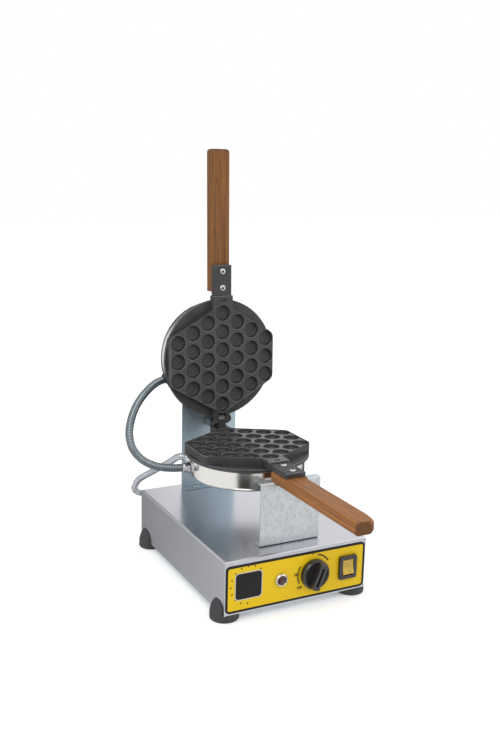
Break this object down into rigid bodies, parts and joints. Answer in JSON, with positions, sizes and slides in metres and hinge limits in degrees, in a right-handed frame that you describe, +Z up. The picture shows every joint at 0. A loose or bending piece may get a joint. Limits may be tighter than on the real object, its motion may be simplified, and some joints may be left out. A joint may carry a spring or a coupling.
{
  "type": "rotating bubble waffle maker",
  "caption": "Bubble waffle iron with a hinged lid plate and a turning lower plate on a stainless control case.",
  "frame": {"origin": "centre of the part's bounding box, without the two free conduits, at the undersides of the feet", "axes": "+Z up, -Y towards the front of the case and the user, +X to the user's right"},
  "size_m": [0.2946, 0.5639, 0.6438],
  "materials": {
    "brushed_steel": "brushed stainless sheet",
    "drum_steel": "satin stainless",
    "zinc_plate": "blue zinc plated",
    "galvanised": "spangled galvanised sheet",
    "cast_nonstick": "matt black non-stick coat on a casting",
    "beech": "oiled reddish beech",
    "rubber": "matt moulded rubber",
    "yellow_label": "printed yellow film",
    "black_label": "printed black film",
    "black_plastic": "matt black plastic",
    "amber_plastic": "clear amber plastic",
    "red_lens": "dark red clear plastic",
    "chrome": "polished chrome",
    "screw_steel": "bright zinc plated steel",
    "conduit_steel": "galvanised flexible conduit",
    "brass": "plain brass",
    "ceramic": "white steatite ceramic",
    "mineral_wool": "pressed mineral wool"
  },
  "bodies": {
    "base": {"case_shell": "brushed_steel", "front_panel": "brushed_steel", "rear_panel": "brushed_steel", "base_plate": "zinc_plate", "label_border": "black_label", "label_field": "yellow_label", "foot_front_left": "rubber", "foot_screw_front_left": "screw_steel", "foot_front_right": "rubber", "foot_screw_front_right": "screw_steel", "foot_rear_left": "rubber", "foot_screw_rear_left": "screw_steel", "foot_rear_right": "rubber", "foot_screw_rear_right": "screw_steel", "rear_bracket": "zinc_plate", "front_bracket": "galvanised", "rear_bracket_screw_left": "screw_steel", "rear_bracket_screw_right": "screw_steel", "front_bracket_screw_left": "screw_steel", "front_bracket_screw_right": "screw_steel", "pivot_bush": "brass", "conduit_gland": "zinc_plate", "mains_gland": "black_plastic", "terminal_block": "ceramic", "lamp_bezel": "chrome", "lamp_lens": "red_lens", "lamp_body": "black_plastic", "thermostat_body": "screw_steel", "switch_housing": "black_plastic", "conduit_supply": "conduit_steel"},
    "lower_iron": {"lower_plate": "cast_nonstick", "lower_heater": "screw_steel", "lower_insulation": "mineral_wool", "lower_drum_nut": "screw_steel", "lower_handle": "beech", "lower_handle_screw_1": "screw_steel", "lower_handle_screw_2": "screw_steel", "lower_drum": "drum_steel", "lower_fitting": "zinc_plate", "supply_fitting": "zinc_plate", "hinge_pin": "screw_steel", "pivot_shaft": "screw_steel", "pivot_nut": "screw_steel", "conduit_lid": "conduit_steel"},
    "lid_iron": {"lid_plate": "cast_nonstick", "lid_heater": "screw_steel", "lid_insulation": "mineral_wool", "lid_drum_nut": "screw_steel", "lid_handle": "beech", "lid_handle_screw_1": "screw_steel", "lid_handle_screw_2": "screw_steel", "lid_drum": "drum_steel", "lid_fitting": "zinc_plate"},
    "thermostat_knob": {"knob": "black_plastic", "thermostat_spindle": "brass"},
    "rocker": {"switch_rocker": "amber_plastic"}
  },
  "joints": [
    {"name": "iron_turn", "type": "hinge", "parent": "base", "child": "lower_iron", "pos_m": [0, 0.077, 0.204], "axis": [0, 1, 0], "range_deg": [0, 90], "deforming": ["conduit_supply"]},
    {"name": "lid_hinge", "type": "hinge", "parent": "lower_iron", "child": "lid_iron", "pos_m": [0, 0.177, 0.216], "axis": [1, 0, 0], "range_deg": [0, 92], "deforming": ["conduit_lid"]},
    {"name": "knob_turn", "type": "hinge", "parent": "base", "child": "thermostat_knob", "pos_m": [0.0267, -0.087, 0.051], "axis": [0, 1, 0], "range_deg": [-22, 258]},
    {"name": "rocker_tip", "type": "hinge", "parent": "base", "child": "rocker", "pos_m": [0.083, -0.0851, 0.051], "axis": [1, 0, 0], "range_deg": [0, 14]}
  ]
}
